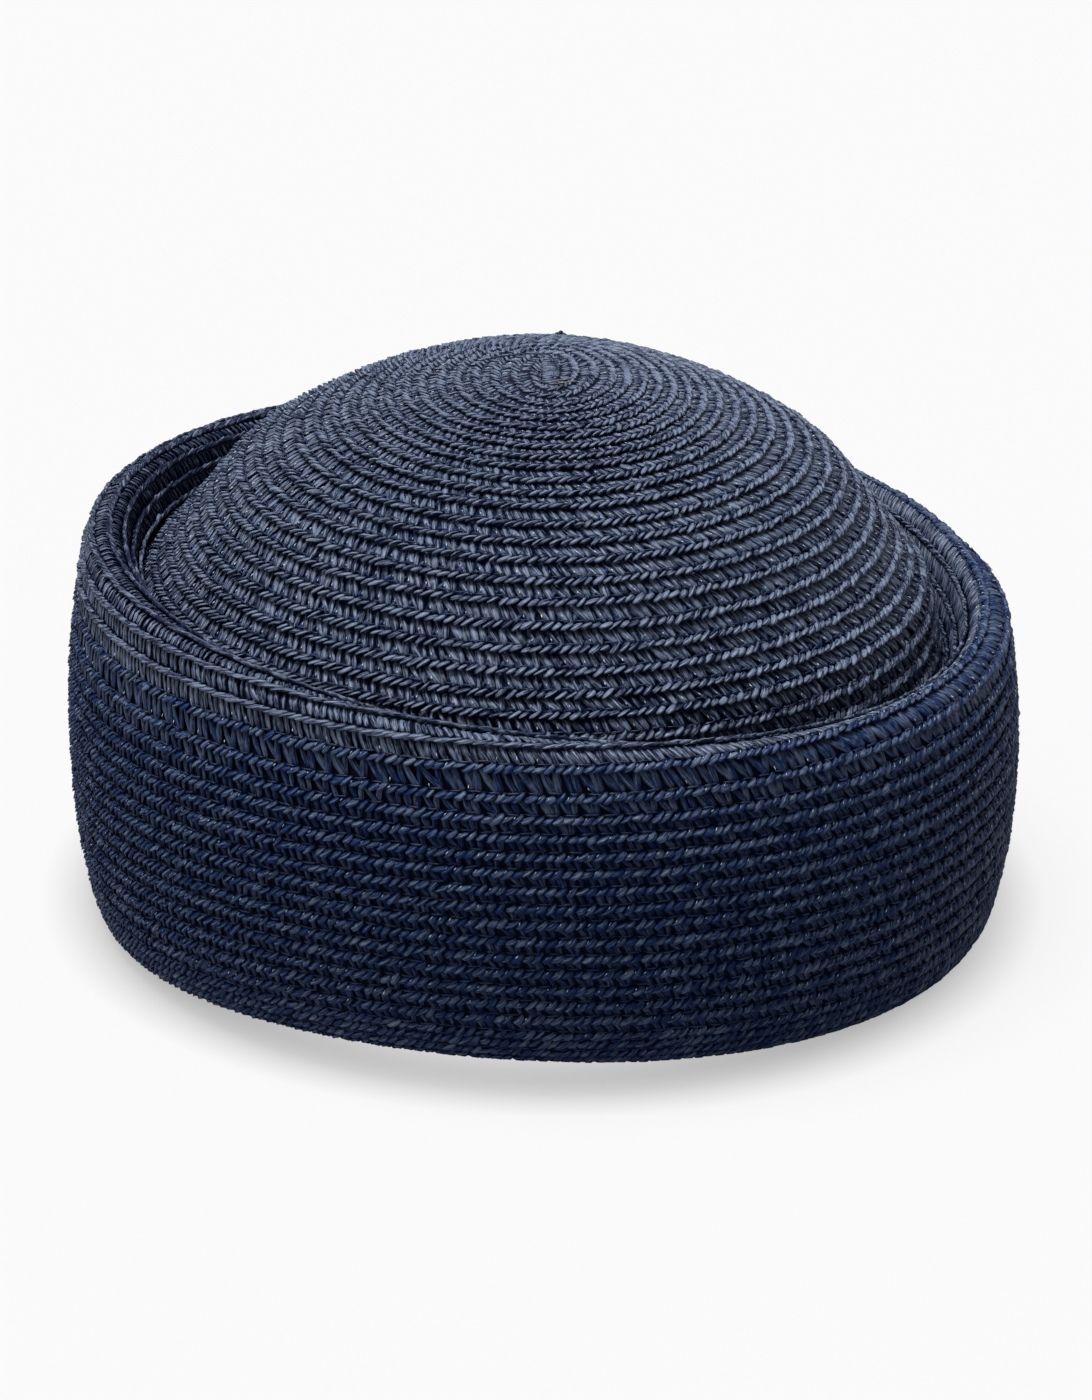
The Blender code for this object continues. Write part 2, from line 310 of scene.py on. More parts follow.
def crown_section(at, angle):
    """Crown from the middle of its top: dome arc, shoulder arc, sloping side, base turn, wall."""
    side, wall_top = crown_side()
    foot = HEAD_HALF_WIDTH + 2 * BRAID_WALL + FOOT_GAP
    spread = math.atan2(foot - HEAD_HALF_WIDTH - CROWN_SWELL, wall_top - CROWN_FOOT)
    shoulder = SIDE_SLOPE - DOME_EDGE
    base = math.pi / 2 - SIDE_SLOPE - spread
    moves = (
        (DOME_RADIUS * DOME_EDGE, -DOME_EDGE),
        (SHOULDER_RADIUS * shoulder, -shoulder),
        (side, 0.0),
        (BASE_RADIUS * base, -base),
        (1.0, 0.0),
    )
    return carried((0.0, CROWN_HEIGHT), 0.0, moves, at)


def crown_lean(height):
    """How far the crown sits to the left: none on the cuff's lap, easing to all of it above the wall."""
    lap_top = INNER_TURN_RADIUS + CUFF_LAP
    share = np.clip((height - lap_top) / (crown_side()[1] - lap_top), 0.0, 1.0)
    return CROWN_LEAN * share ** 2 * (3 - 2 * share)


def crown_length():
    """Length of the crown's section from the middle to the foot, to a tenth of a millimetre."""
    at = np.linspace(0.0, 0.3, 3001)
    height = crown_section(at, 0.0)[1]
    return float(at[np.argmax(height < CROWN_FOOT)])


def wall_radius(top):
    """Radius of the cuff wall's barrel up to a rim top."""
    rise = top - OUTER_TURN_RADIUS * (1 - math.sin(CUFF_FLARE)) - RIM_RADIUS * (1 - math.sin(CUFF_LEAN))
    return rise / (math.sin(CUFF_FLARE) + math.sin(CUFF_LEAN))


def sole_width():
    """Width of the ring between the cuff's two turns."""
    shift = wall_radius(RIM_HEIGHT) * (math.cos(CUFF_LEAN) - math.cos(CUFF_FLARE))
    rim = HEAD_HALF_WIDTH + CROWN_SWELL + GROOVE_WIDTH + RIM_RADIUS * (1 + math.cos(CUFF_LEAN))
    return rim - shift - OUTER_TURN_RADIUS * math.cos(CUFF_FLARE) - HEAD_HALF_WIDTH - INNER_TURN_RADIUS


def cuff_moves(angle):
    """Cuff as lap, inner turn, sole, outer turn, barrelled wall, rolled rim and hem."""
    barrel = CUFF_FLARE + CUFF_LEAN
    roll = math.pi - CUFF_LEAN - HEM_LEAN
    return (
        (CUFF_LAP, 0.0),
        (INNER_TURN_RADIUS * math.pi / 2, math.pi / 2),
        (sole_width(), 0.0),
        (OUTER_TURN_RADIUS * (math.pi / 2 - CUFF_FLARE), math.pi / 2 - CUFF_FLARE),
        (wall_radius(rim_height(angle)) * barrel, barrel),
        (RIM_RADIUS * roll, roll),
        (HEM_LENGTH - HEM_LEVELLING * (rim_height(angle) - RIM_HEIGHT), 0.0),
    )


def cuff_section(at, angle):
    """Cuff from its inner edge, down, out, up and over."""
    start = (HEAD_HALF_WIDTH, INNER_TURN_RADIUS + CUFF_LAP)
    return carried(start, -math.pi / 2, cuff_moves(angle), at)


def cuff_wall_start():
    """Arc length at which the cuff's wall leaves its outer turn."""
    return sum(length for length, _ in cuff_moves(0.0)[:4])


def cuff_length(angle):
    """Arc length at which the hem ends."""
    return sum(length for length, _ in cuff_moves(angle))


class Face:
    """One face of the sewn braid.

    A point is the section's point at an arc length, moved off the section by a height and set round the
    oval: half width times cosine, half width plus half the seam times sine, and height plus the edge's
    lift, which fades out up to the rim. Where the face `leans`, as the crown's two do, the point is set to
    the left by the lean, and back to the right near the middle of the top by the tip's shift times a bell
    curve of its half width. Outside, the crown's lowest rows also spread into the groove by a flare, plus
    a gain times the cosine, eased in along the section.

    `outward` is 1 where the section's left is outside. `up` is the way along the section towards a row's
    hidden edge. A face that is `inner` looks the other way. `depth` is how far the face lies under the
    section, and `sink` gives how much lower its strands lie at an arc length. `end` gives the arc length
    at which the face ends at an angle, where strands have to stop. `relief` gives the share of the braid's
    relief at an arc length, and a face without it has all of it.
    """

    def __init__(
        self, section, outward, up, leans, inner=False, depth=0.0, sink=None, end=None, relief=None
    ):
        self.section = section
        self.outward = outward
        self.up = -up if inner else up
        self.leans = leans
        self.inner = inner
        self.depth = depth
        self.sink = sink
        self.end = end
        self.relief = relief

    def place(self, at, angle, proud):
        """Points, as an array whose last axis is x, y, z."""
        across, height, heading = self.section(at, angle)
        if self.sink:
            proud = proud - self.sink(at)
        if self.leans and not self.inner:
            start = BASE_FLARE_START + BASE_FLARE_DELAY * np.cos(angle)
            share = np.clip((at - start) / BASE_FLARE_LENGTH, 0.0, 1.0)
            proud = proud + (BASE_FLARE + BASE_FLARE_GAIN * np.cos(angle)) * share ** 2 * (3 - 2 * share)
        off = self.outward * (-(proud + self.depth) if self.inner else proud - self.depth)
        across = across - off * np.sin(heading)
        height = height + off * np.cos(heading)
        x = across * np.cos(angle)
        if self.leans:
            x = x - crown_lean(height) + TIP_SHIFT * np.exp(-(across / TIP_REACH) ** 2)
        y = (across + SEAM_HALF_LENGTH) * np.sin(angle)
        z = height + edge_lift(angle) * np.clip(1 - height / rim_height(angle), 0.0, 1.0)
        return np.stack([x, y, z], -1)

    def speed(self, at, angle):
        """Length along the row for each radian round the hat."""
        step = 1e-3
        ahead = self.place(at, angle + step, 0.0) - self.place(at, angle - step, 0.0)
        return np.linalg.norm(ahead, axis=-1) / (2 * step)


def wander(turns):
    """Small wandering of a sewn row, a sum of two sines of the turns."""
    waves = (share * np.sin(TURN * rate * turns + phase) for rate, share, phase in WANDER_WAVES)
    return ROW_WANDER * sum(waves)


def row_marks(stretches):
    """Arc lengths of the rows that stretches of equal pitches give, from 0."""
    pitches = np.repeat([pitch for _, pitch in stretches], [rows for rows, _ in stretches])
    return np.concatenate([[0.0], np.cumsum(pitches)])


def crown_row(turns):
    """Arc length of the crown's twisted edge, read between the rows that its stretches give."""
    marks = row_marks(CROWN_STRETCHES)
    line = np.interp(turns, np.arange(marks.size), marks)
    return line + wander(turns) * np.clip(turns / WANDER_EASE, 0.0, 1.0)


def cuff_row(turns):
    """Arc length of the cuff's twisted edge, read between the rows that its stretches give."""
    marks = row_marks(CUFF_STRETCHES)
    marks += cuff_wall_start() + FIRST_WALL_ROW - marks[ROWS_UNDER_WALL]
    return np.interp(turns, np.arange(marks.size), marks) + wander(turns)


def hem_row(turns):
    """Arc length of the edge rope along the hem's end."""
    return cuff_length(TURN * turns + FRONT) - HEM_EDGE_INSET


def underside_sink(at):
    """How far strands are sunk: not on the wall, and growing down round the outer turn to all of it."""
    fade = (cuff_wall_start() - at) / (OUTER_TURN_RADIUS * (math.pi / 2 - CUFF_FLARE))
    return UNDER_SINK * np.clip(fade, 0.0, 1.0)


def crown_relief(at):
    """Share of the relief: least in the middle of the top, growing with a power of the arc length."""
    return TOP_RELIEF + (1 - TOP_RELIEF) * np.clip(at / TOP_REACH, 0.0, 1.0) ** RELIEF_POWER


def cuff_relief(at):
    """Share of the relief: least on what faces the floor, all of it a little way up the wall."""
    share = np.clip((at - cuff_wall_start()) / UNDER_FADE, 0.0, 1.0)
    return UNDER_RELIEF + (1 - UNDER_RELIEF) * share


CROWN_OUTSIDE = Face(crown_section, outward=1, up=-1, leans=True, relief=crown_relief)
CROWN_INSIDE = Face(
    crown_section, outward=1, up=-1, leans=True, inner=True, depth=BRAID_WALL - INSIDE_SINK
)
CUFF_OUTSIDE = Face(
    cuff_section, outward=-1, up=1, leans=False, sink=underside_sink, end=cuff_length, relief=cuff_relief
)

Strand = namedtuple(
    "Strand", "slant fan stray length width thick lift tilt drop roll across curl tone spread"
)

# Kinds of strand, in millimetres and degrees. Length 0 fills the row from one twisted edge to the next.
# Fan is how far the slants of a pair differ from their mean, and stray how far slants differ by chance.
# Lift is how far a strand stands over the face, tilt how far a row falls from its twisted edge to its
# hidden edge, drop how far a strand's ends dip, and roll how much one long edge of it stands over the
# other, so that it laps its neighbour. Across is how far up the row it lies, and curl how much it bends.
# Tone picks its colour from dark to light, and spread is how far tones differ by chance.
# Where a plait's tone is under its twisted edge's, the difference is painted shade of the recess it lies
# in.
CROWN_EDGE = Strand(33, 0, 7, 3.45, 1.26, 1.02, 0.14, 1.15, 0.46, -0.30, 0.0, 0.14, 0.76, 0.20)
CROWN_PLAIT = Strand(-64, 6, 6, 0.0, 1.78, 0.66, -0.14, 1.10, 0.12, 0.10, 0.0, 0.06, 0.66, 0.20)
CUFF_EDGE = Strand(33, 0, 8, 3.60, 1.34, 1.00, 0.16, 1.15, 0.46, -0.30, 0.0, 0.14, 0.27, 0.13)
CUFF_PLAIT = Strand(-66, 6, 8, 0.0, 1.86, 0.60, -0.30, 1.10, 0.12, 0.10, 0.0, 0.06, 0.19, 0.11)
TOP_PLAIT = Strand(-66, 9, 7, 0.0, 1.80, 0.62, -0.14, 0.70, 0.12, 0.10, 0.0, 0.08, 0.31, 0.14)
RIM_EDGE = Strand(14, 0, 3, 4.8, 1.05, 1.00, 0.24, 0.80, 0.14, -0.12, 0.0, 0.05, 0.56, 0.16)
RIM_PLAIT = Strand(-66, 3, 4, 0.0, 1.50, 0.66, -0.05, 0.80, 0.06, 0.14, 0.0, 0.20, 0.52, 0.18)
UNDER_EDGE = Strand(31, 0, 6, 3.6, 1.50, 1.10, 0.22, 0.95, 0.30, 0.0, 0.0, 0.10, 0.24, 0.12)
UNDER_PLAIT = Strand(-62, 0, 6, 0.0, 1.70, 0.70, 0.05, 0.95, 0.10, 0.0, 0.0, 0.05, 0.20, 0.12)
STITCH = Strand(2, 0, 4, 3.8, 0.36, 0.36, 0.44, 1.15, 0.45, 0.0, 1.18, 0.0, 0.50, 0.22)
CROWN_GLINT = Strand(-76, 0, 7, 1.10, 0.25, 0.25, 0.44, 1.15, 0.10, 0.0, 2.1, 0.0, 0.70, 0.28)
CUFF_GLINT = Strand(56, 0, 7, 1.05, 0.20, 0.20, 0.70, 1.15, 0.15, 0.0, 0.35, 0.0, 0.35, 0.25)

EDGE_REACH = 0.55 * MM    # how far above the twisted edge's line the plait starts
HIDDEN_REACH = 0.35 * MM  # how far under the next twisted edge's line it ends
FULL_ROW = 4.6 * MM       # pitch at which plait strands have their own width
LEAST_ROW = 1.5 * MM      # pitch taken where the hem's end cuts a row short
TILT_SPAN = (-0.3, 1.3)   # shares of the pitch between which a row tilts
# Painted shade at a strand's ends and long edges, where it tucks under its neighbours
END_PAINTED_SHADE = 0.22      # how much the tone falls to a strand's ends
EDGE_PAINTED_SHADE = 0.32     # and to its long edges
PATTERN_REACH = 200.0     # how far apart, in millimetres, the patterns of two strands may start
RING_SPREAD = 1.4         # how much nearer its tips a strand's rings lie than evenly spaced ones

# How far strands differ by chance: shares of their sizes, and lengths
LENGTH_VARIETY = 0.12
WIDTH_VARIETY = 0.14
THICK_VARIETY = 0.12
STRAY_ALONG = 0.12 * MM
STRAY_ACROSS = 0.10 * MM
STRAY_LIFT = 0.09 * MM


def strand_shape(rings, sides, flat=0.75, turned=0.0):
    """Closed strand along t from -1 to 1, of radius (1 - |t|^3)^0.5 about it, with a tip at each end.

    Its cross section is a superellipse: the cosine and sine are raised to the power `flat`. Its rings are
    evenly spaced, and then spread towards the tips.

    Returns its points (t, w, h), tips last, and its triangles, which face outwards.
    """
    along = np.linspace(-1.0, 1.0, rings + 2)[1:-1] * (RING_SPREAD if rings > 1 else 1.0)
    around = TURN * (np.arange(sides) + turned) / sides
    radius = np.sqrt(1 - np.abs(along) ** 3)[:, None]
    w = np.sign(np.cos(around)) * np.abs(np.cos(around)) ** flat
    h = np.sign(np.sin(around)) * np.abs(np.sin(around)) ** flat
    ring_points = [np.repeat(along, sides), (radius * w).ravel(), (radius * h).ravel()]
    points = np.concatenate([np.stack(ring_points, 1), [[-1.0, 0.0, 0.0], [1.0, 0.0, 0.0]]])
    here = np.arange(sides)
    there = (here + 1) % sides
    first, last = rings * sides, rings * sides + 1
    end = (rings - 1) * sides
    triangles = [np.stack([np.full(sides, first), there, here], 1)]
    for ring in range(rings - 1):
        low, high = ring * sides, (ring + 1) * sides
        triangles.append(np.stack([low + here, low + there, high + there], 1))
        triangles.append(np.stack([low + here, high + there, high + here], 1))
    triangles.append(np.stack([np.full(sides, last), end + here, end + there], 1))
    return points, np.concatenate(triangles)


def stations(face, row, first, last, pitch, offsets=(0.0,)):
    """Turns at equal arc lengths along a spiral of rows, each repeated at small offsets along the row."""
    turns = np.linspace(first, last, int(math.ceil((last - first) * STATIONS_A_TURN)) + 1)
    path = face.place(row(turns), TURN * turns + FRONT, 0.0)
    run = np.concatenate([[0.0], np.cumsum(np.linalg.norm(np.diff(path, axis=0), axis=1))])
    marks = np.arange(pitch / 2, run[-1] - pitch / 2, pitch)[:, None] + np.array(offsets)
    found = np.interp(marks.ravel(), run, turns)
    if face.end is None:
        return found
    return found[row(found) < face.end(TURN * found + FRONT) - HEM_MARGIN]


def strand_set(placed, triangles, pattern, tone):
    """Points, triangles, pattern and tone of strands of one shape, each as one long array."""
    count, size = placed.shape[:2]
    faces = triangles[None] + (np.arange(count) * size)[:, None, None]
    return placed.reshape(-1, 3), faces.reshape(-1, 3), pattern.reshape(-1, 2), tone.ravel()


def lay(face, row, turns, kind, shape, rng, lighter=0.0):
    """Strands laid on a face, centred on the row's line at each of the turns.

    A strand's point (t, w, h) is bent by the curl times t squared less a half, turned by the slant in the
    plane of the face, offset up the row, raised by the lift, rolled about its own line, lowered by the
    drop times t squared and by the row's tilt, and then carried onto the face: its offset along the row
    becomes an angle and its offset across the row an arc length. Where the face has only a share of the
    relief, all that raises or lowers the strand has that share. The tone falls with the fourth power of t
    and the square of w, a painted shade at the strand's ends and long edges.
    """
    points, triangles = shape
    count = turns.size

    def varied(value, share):
        return (value * (1 + share * rng.normal(size=count)))[:, None]

    at = row(turns)
    angle = TURN * turns + FRONT
    ahead = row(turns + face.up)
    if face.end is not None:
        ahead = np.minimum(ahead, face.end(angle))
    pitch = np.maximum(face.up * (ahead - at), LEAST_ROW)
    fan = kind.fan * np.where(np.arange(count) % 2, -1, 1)
    slant = np.radians(kind.slant + fan + kind.stray * rng.normal(size=count))
    centre = kind.across * MM + STRAY_ACROSS * rng.normal(size=count)
    if kind.length:
        length = varied(kind.length * MM, LENGTH_VARIETY)
        width = varied(kind.width * MM, WIDTH_VARIETY)
    else:
        length = ((pitch + HIDDEN_REACH - EDGE_REACH) / np.abs(np.sin(slant)))[:, None]
        centre = centre + (pitch + HIDDEN_REACH + EDGE_REACH) / 2
        width = varied(kind.width * MM, WIDTH_VARIETY) * np.sqrt(pitch / FULL_ROW)[:, None]
    relief = np.ones((count, 1)) if face.relief is None else face.relief(at)[:, None]
    thick = varied(kind.thick * MM, THICK_VARIETY) * (1 + relief) / 2
    t, w, h = points[:, 0], points[:, 1], points[:, 2]
    along = t * length / 2
    across = w * width / 2 + kind.curl * width * (t ** 2 - 0.5)
    cos, sin = np.cos(slant)[:, None], np.sin(slant)[:, None]
    x = along * cos - across * sin + STRAY_ALONG * rng.normal(size=count)[:, None]
    y = along * sin + across * cos + centre[:, None]
    lift = (kind.lift * MM + STRAY_LIFT * rng.normal(size=count))[:, None]
    tilt = kind.tilt * MM * np.clip(y / pitch[:, None], *TILT_SPAN)
    z = relief * (lift + kind.roll * MM * w - kind.drop * MM * t ** 2 - tilt) + h * thick / 2
    z = z - (1 - relief) * FLAT_SINK
    speed = face.speed(at, angle)[:, None]
    placed = face.place(at[:, None] + face.up * y, angle[:, None] + x / speed, z)
    # The tone shift given brings the painted light and shade along the spirals, and the cuff's lightening
    # up to the rim
    tone = (rng.normal(kind.tone, kind.spread, size=count) + lighter)[:, None]
    # Painted shade towards the strand's ends and long edges
    tone = tone - END_PAINTED_SHADE * t ** 4 - EDGE_PAINTED_SHADE * w ** 2
    offset = rng.uniform(0.0, PATTERN_REACH, size=(count, 1, 2))
    pattern = np.stack([along / MM, np.broadcast_to(w * width / 2, along.shape) / MM], -1) + offset
    return strand_set(placed, triangles, pattern, tone)


def scattered(shape, centres, along, up, sizes, tone, rng):
    """Strands at given centres: a strand's point is its centre plus t, w and h times half its sizes.

    The three run along the given direction, across it in the face, and along the face's upward normal.
    """
    points, triangles = shape
    along = along / np.linalg.norm(along, axis=1, keepdims=True)
    beside = np.cross(up, along)
    beside = beside / np.linalg.norm(beside, axis=1, keepdims=True)
    ways = np.stack([along, beside, np.cross(along, beside)], 1) * (sizes / 2)[:, :, None]
    placed = centres[:, None] + np.einsum("pk,nkc->npc", points, ways)
    offset = rng.uniform(0.0, PATTERN_REACH, size=(len(centres), 1, 2))
    pattern = points[None, :, :2] * sizes[:, None, :2] / 2 / MM + offset
    return strand_set(placed, triangles, pattern, np.repeat(tone, len(points)))


def joined(*sets):
    """Several sets of laid strands as one."""
    points, faces, pattern, tone = zip(*sets)
    starts = np.cumsum([0] + [len(part) for part in points])
    faces = [part + start for part, start in zip(faces, starts)]
    return tuple(np.concatenate(parts) for parts in (points, faces, pattern, tone))


def in_scene(name, data):
    """Object of a mesh, a camera or a light, put in the scene."""
    made = bpy.data.objects.new(name, data)
    bpy.context.scene.collection.objects.link(made)
    return made


def smooth_object(name, mesh, material):
    """Object of a smooth mesh with one material."""
    mesh.shade_smooth()
    mesh.materials.append(material)
    return in_scene(name, mesh)


def piece(name, strands, material):
    """Mesh object of laid strands, with their pattern as a UV map and their tone as an attribute."""
    points, faces, pattern, tone = strands
    mesh = bpy.data.meshes.new(name)
    mesh.vertices.add(len(points))
    mesh.vertices.foreach_set("co", points.astype(np.float32).ravel())
    mesh.loops.add(faces.size)
    mesh.loops.foreach_set("vertex_index", faces.astype(np.int32).ravel())
    mesh.polygons.add(len(faces))
    mesh.polygons.foreach_set("loop_start", np.arange(0, faces.size, 3, dtype=np.int32))
    mesh.update(calc_edges=True)
    corners = pattern[faces.ravel()].astype(np.float32).ravel()
    mesh.uv_layers.new(name="pattern").data.foreach_set("uv", corners)
    mesh.attributes.new("tone", "FLOAT", "POINT").data.foreach_set("value", tone.astype(np.float32))
    made = smooth_object(name, mesh, material)
    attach(made, "root")


def shell(name, face, outer_at, inner_at, capped, material, slot, node):
    """Closed thin shell under a face: a grid of arc lengths by angles, out on one side, back on the other.

    On a face that has an end, the arc lengths are given as shares of it. The shell lies deeper where the
    braid has more relief. A capped shell has its first and last rings closed by flat polygons in the
    middle of the top. Any other joins its last ring to its first.
    """
    segments = SHELL_SEGMENTS
    angle = (np.arange(segments) * TURN / segments)[:, None]
    at = np.concatenate([outer_at, inner_at[::-1]])
    ends = np.ones((segments, 1)) if face.end is None else face.end(angle)
    depth = SHELL_DEPTH * face.relief(at * ends)
    depth[:, outer_at.size:] += SHELL_WALL
    points = face.place(at * ends, angle, -depth)
    rows = at.size
    i = np.arange(segments)[:, None]
    j = np.arange(rows - 1 if capped else rows)[None]
    after = (j + 1) % rows
    beside = (i + 1) % segments
    corners = (i * rows + j, i * rows + after, beside * rows + after, beside * rows + j)
    quads = np.stack([np.broadcast_to(c, (segments, j.size)) for c in corners], -1).reshape(-1, 4)
    if face.outward < 0:
        quads = quads[:, ::-1]
    polygons = quads.tolist()
    if capped:
        ring = np.arange(segments) * rows
        polygons.append(ring.tolist())
        polygons.append((ring + rows - 1)[::-1].tolist())
    mesh = bpy.data.meshes.new(name)
    mesh.from_pydata(points.reshape(-1, 3).tolist(), [], polygons)
    made = smooth_object(name, mesh, material)
    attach(made, "root")
    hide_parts(node)


def math_node(nodes, operation, *plain, clamp=False):
    """Math node whose second input, and third if it has one, are set to the plain values given."""
    node = nodes.new("ShaderNodeMath")
    node.operation = operation
    node.use_clamp = clamp
    for number, value in enumerate(plain, 1):
        node.inputs[number].default_value = value
    return node


def colour_between(nodes, dark=None, light=None):
    """Mix node of two colours, which are set where they are plain."""
    mix = nodes.new("ShaderNodeMix")
    mix.data_type = "RGBA"
    if dark:
        mix.inputs["A"].default_value = (*dark, 1.0)
        mix.inputs["B"].default_value = (*light, 1.0)
    return mix


def noise_node(nodes, scale, dimensions="2D"):
    """Noise texture of a scale."""
    noise = nodes.new("ShaderNodeTexNoise")
    noise.noise_dimensions = dimensions
    noise.inputs["Scale"].default_value = scale
    return noise


def new_material(name):
    """Material, its nodes, its links and its Principled BSDF."""
    material = bpy.data.materials.new(name)
    material.use_nodes = True
    tree = material.node_tree
    return material, tree.nodes, tree.links, tree.nodes["Principled BSDF"]


def tone_node(nodes):
    """Node that reads the strands' tone."""
    tone = nodes.new("ShaderNodeAttribute")
    tone.attribute_name = "tone"
    return tone


def straw_group():
    """Node group of dyed straw: grooves along a strand, and a colour between two that its tone picks.

    The tone is moved by the grooves and by blotches, each a noise less its mean times a gain.
    """
    group = bpy.data.node_groups.new("dyed_straw", "ShaderNodeTree")
    tint, plain = "NodeSocketColor", "NodeSocketFloat"
    for name, way, kind in (
        ("Dark", "INPUT", tint),
        ("Light", "INPUT", tint),
        ("Groove Depth", "INPUT", plain),
        ("Roughness", "INPUT", plain),
        ("Colour", "OUTPUT", tint),
        ("Roughness", "OUTPUT", plain),
        ("Height", "OUTPUT", plain),
    ):
        group.interface.new_socket(name=name, in_out=way, socket_type=kind)
    nodes, links = group.nodes, group.links
    given = nodes.new("NodeGroupInput")
    result = nodes.new("NodeGroupOutput")
    pattern = nodes.new("ShaderNodeUVMap")
    pattern.uv_map = "pattern"
    stretch = nodes.new("ShaderNodeVectorMath")
    stretch.operation = "MULTIPLY"
    stretch.inputs[1].default_value = GROOVE_STRETCH
    grooves = noise_node(nodes, 1.0)
    grooves.inputs["Detail"].default_value = GROOVE_DETAIL
    blotches = noise_node(nodes, BLOTCH_SCALE)
    about = math_node(nodes, "SUBTRACT", NOISE_MEAN)
    tone = tone_node(nodes)
    centred = math_node(nodes, "SUBTRACT", NOISE_MEAN)
    marked = math_node(nodes, "MULTIPLY_ADD")
    toned = math_node(nodes, "MULTIPLY_ADD", BLOTCH_GAIN, clamp=True)
    colour = colour_between(nodes)
    rougher = math_node(nodes, "MULTIPLY_ADD", GROOVE_ROUGHENING)
    links.new(pattern.outputs["UV"], stretch.inputs[0])
    links.new(stretch.outputs["Vector"], grooves.inputs["Vector"])
    links.new(pattern.outputs["UV"], blotches.inputs["Vector"])
    links.new(grooves.outputs["Fac"], centred.inputs[0])
    links.new(centred.outputs[0], marked.inputs[0])
    links.new(given.outputs["Groove Depth"], marked.inputs[1])
    links.new(tone.outputs["Fac"], marked.inputs[2])
    links.new(blotches.outputs["Fac"], about.inputs[0])
    links.new(about.outputs[0], toned.inputs[0])
    links.new(marked.outputs[0], toned.inputs[2])
    links.new(toned.outputs[0], colour.inputs["Factor"])
    links.new(given.outputs["Dark"], colour.inputs["A"])
    links.new(given.outputs["Light"], colour.inputs["B"])
    links.new(grooves.outputs["Fac"], rougher.inputs[0])
    links.new(given.outputs["Roughness"], rougher.inputs[2])
    links.new(colour.outputs["Result"], result.inputs["Colour"])
    links.new(rougher.outputs[0], result.inputs["Roughness"])
    links.new(grooves.outputs["Fac"], result.inputs["Height"])
    return group


def straw(group, name, dark, light, groove_depth, roughness, gloss):
    """Material of dyed straw strands."""
    material, nodes, links, shader = new_material(name)
    shader.inputs["Specular IOR Level"].default_value = gloss
    dyed = nodes.new("ShaderNodeGroup")
    dyed.node_tree = group
    dyed.inputs["Dark"].default_value = (*dark, 1.0)
    dyed.inputs["Light"].default_value = (*light, 1.0)
    dyed.inputs["Groove Depth"].default_value = groove_depth
    dyed.inputs["Roughness"].default_value = roughness
    bump = nodes.new("ShaderNodeBump")
    bump.inputs["Strength"].default_value = BUMP_STRENGTH
    bump.inputs["Distance"].default_value = BUMP_HEIGHT
    links.new(dyed.outputs["Colour"], shader.inputs["Base Color"])
    links.new(dyed.outputs["Roughness"], shader.inputs["Roughness"])
    links.new(dyed.outputs["Height"], bump.inputs["Height"])
    links.new(bump.outputs["Normal"], shader.inputs["Normal"])
    return material


def shadowed_braid(name, dark, light):
    """Material of what lies deep between the strands: nearly black as painted shade, with a faint mottle.
    """
    material, nodes, links, shader = new_material(name)
    shader.inputs["Roughness"].default_value = 0.85
    shader.inputs["Specular IOR Level"].default_value = 0.2
    place = nodes.new("ShaderNodeTexCoord")
    mottle = noise_node(nodes, MOTTLE_SCALE, "3D")
    colour = colour_between(nodes, dark, light)
    links.new(place.outputs["Object"], mottle.inputs["Vector"])
    links.new(mottle.outputs["Fac"], colour.inputs["Factor"])
    links.new(colour.outputs["Result"], shader.inputs["Base Color"])
    return material


def clear_filament(name, dark, light):
    """Material of the clear filament in the plait, painted pale, near white, as a highlight where it
    glints.
    """
    material, nodes, links, shader = new_material(name)
    shader.inputs["Roughness"].default_value = 0.2
    tone = tone_node(nodes)
    colour = colour_between(nodes, dark, light)
    links.new(tone.outputs["Fac"], colour.inputs["Factor"])
    links.new(colour.outputs["Result"], shader.inputs["Base Color"])
    return material


def make_camera():
    """Camera at the photograph's angle, aimed a little low, so that the hat stands high in the picture."""
    lens = bpy.data.cameras.new("camera")
    lens.lens = CAMERA_LENS
    lens.sensor_width = CAMERA_SENSOR
    lens.clip_start = 0.05
    lens.clip_end = 100.0
    camera = in_scene("camera", lens)
    away = CAMERA_DISTANCE * math.cos(CAMERA_ELEVATION)
    above = CAMERA_TARGET_HEIGHT + CAMERA_DISTANCE * math.sin(CAMERA_ELEVATION)
    pitch = math.pi / 2 - CAMERA_ELEVATION - CAMERA_AIM_BELOW
    turned = Matrix.Rotation(pitch, 4, "X") @ Matrix.Rotation(CAMERA_ROLL, 4, "Z")
    camera.matrix_world = Matrix.Translation(Vector((0.0, -away, above))) @ turned
    bpy.context.scene.camera = camera


